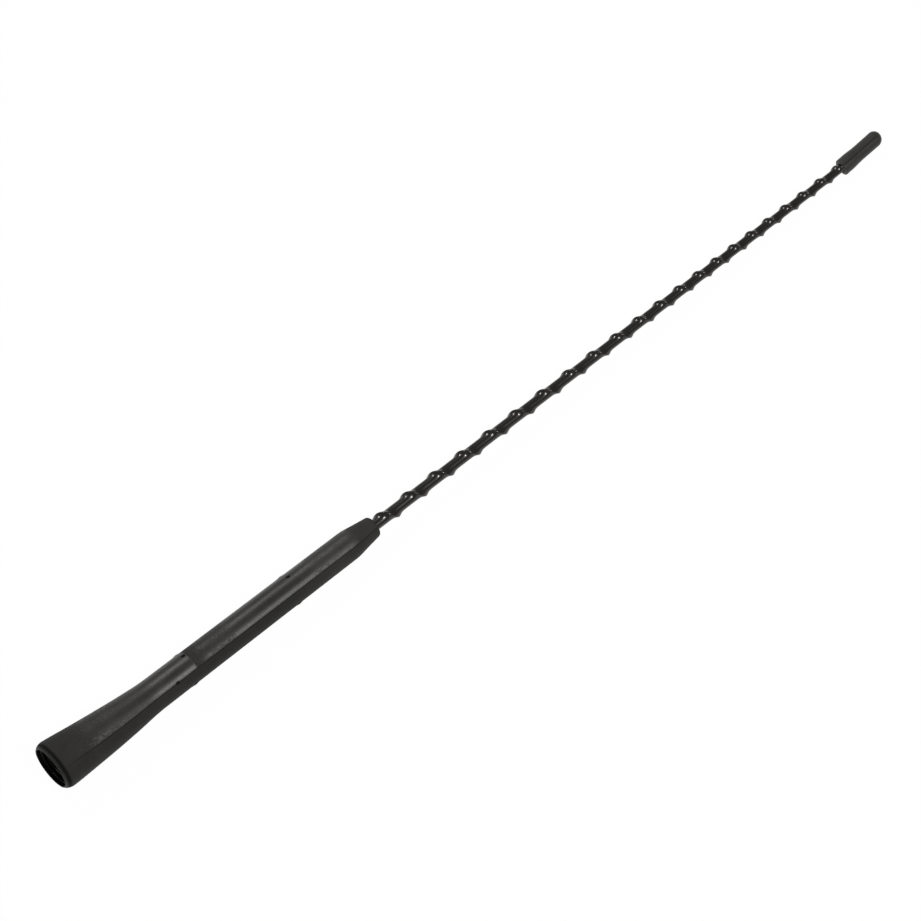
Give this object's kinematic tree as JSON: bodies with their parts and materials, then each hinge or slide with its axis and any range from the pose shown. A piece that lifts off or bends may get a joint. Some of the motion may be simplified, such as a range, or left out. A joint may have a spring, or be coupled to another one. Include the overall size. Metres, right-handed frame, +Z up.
{
  "type": "car mast aerial",
  "caption": "Wound whip aerial in a flared rubber boot, with a threaded ferrule inside its mouth that screws onto the aerial base of a car, and a rubber tip cap.",
  "frame": {"origin": "on the surface that the aerial lies on, under the middle of its box", "axes": "+X along the aerial from the boot to the tip, lying flat; +Z up"},
  "size_m": [0.4092, 0.02, 0.0201],
  "materials": {
    "boot_rubber": "semi-matte black moulded rubber with a fine grain",
    "ferrule_metal": "turned and plated",
    "rod_fibreglass": "pultruded fibreglass",
    "wire_copper": "enamelled copper wire",
    "sleeve_plastic": "glossy black shrunk sleeve",
    "cap_rubber": "matt black moulded rubber"
  },
  "bodies": {
    "root": {"rubber_boot": "boot_rubber", "threaded_ferrule": "ferrule_metal", "fibreglass_rod": "rod_fibreglass", "wound_wire": "wire_copper", "plastic_sleeve": "sleeve_plastic", "tip_cap": "cap_rubber"}
  },
  "joints": []
}
